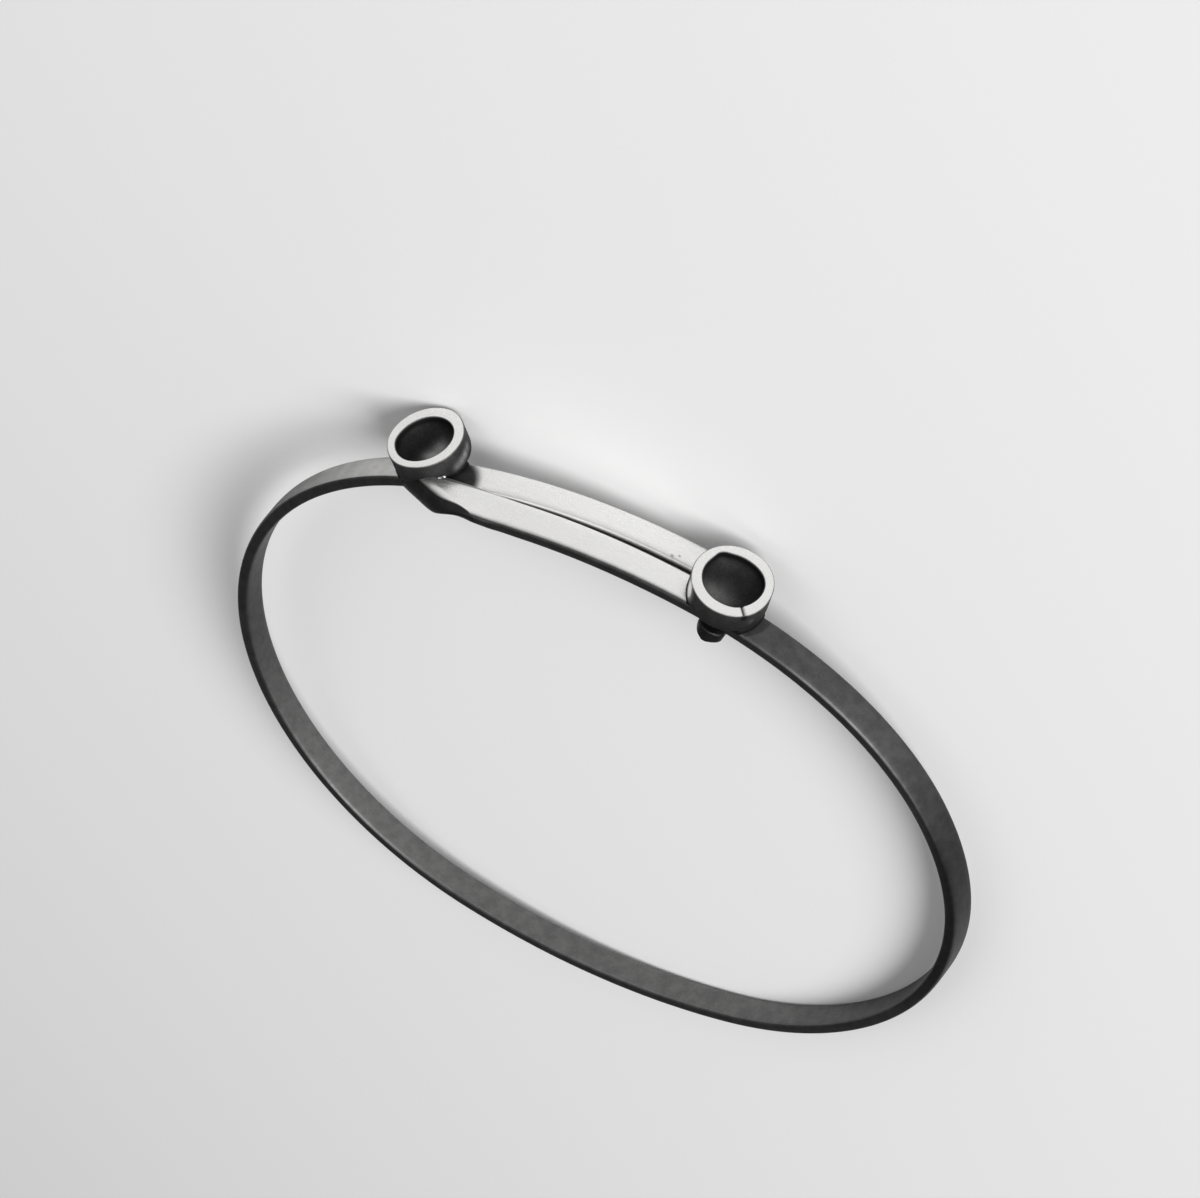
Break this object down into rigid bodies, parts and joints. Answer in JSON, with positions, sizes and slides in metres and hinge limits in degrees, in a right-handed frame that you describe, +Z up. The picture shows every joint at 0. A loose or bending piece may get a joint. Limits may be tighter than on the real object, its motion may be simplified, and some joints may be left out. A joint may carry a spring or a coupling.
{
  "type": "bangle",
  "caption": "Expanding silver bangle: one flat strip doubled across the front, each end hooked under the other, with a small open cup soldered above each hook",
  "frame": {"origin": "middle of the bounding box in plan, on the table the bangle lies on", "axes": "+X across the bangle's width towards the left cup, +Y from the doubled front to the plain back, +Z up"},
  "size_m": [0.062, 0.0544, 0.0078],
  "materials": {
    "silver": "satin"
  },
  "bodies": {
    "root": {"soldered_bangle": "silver"}
  },
  "joints": []
}
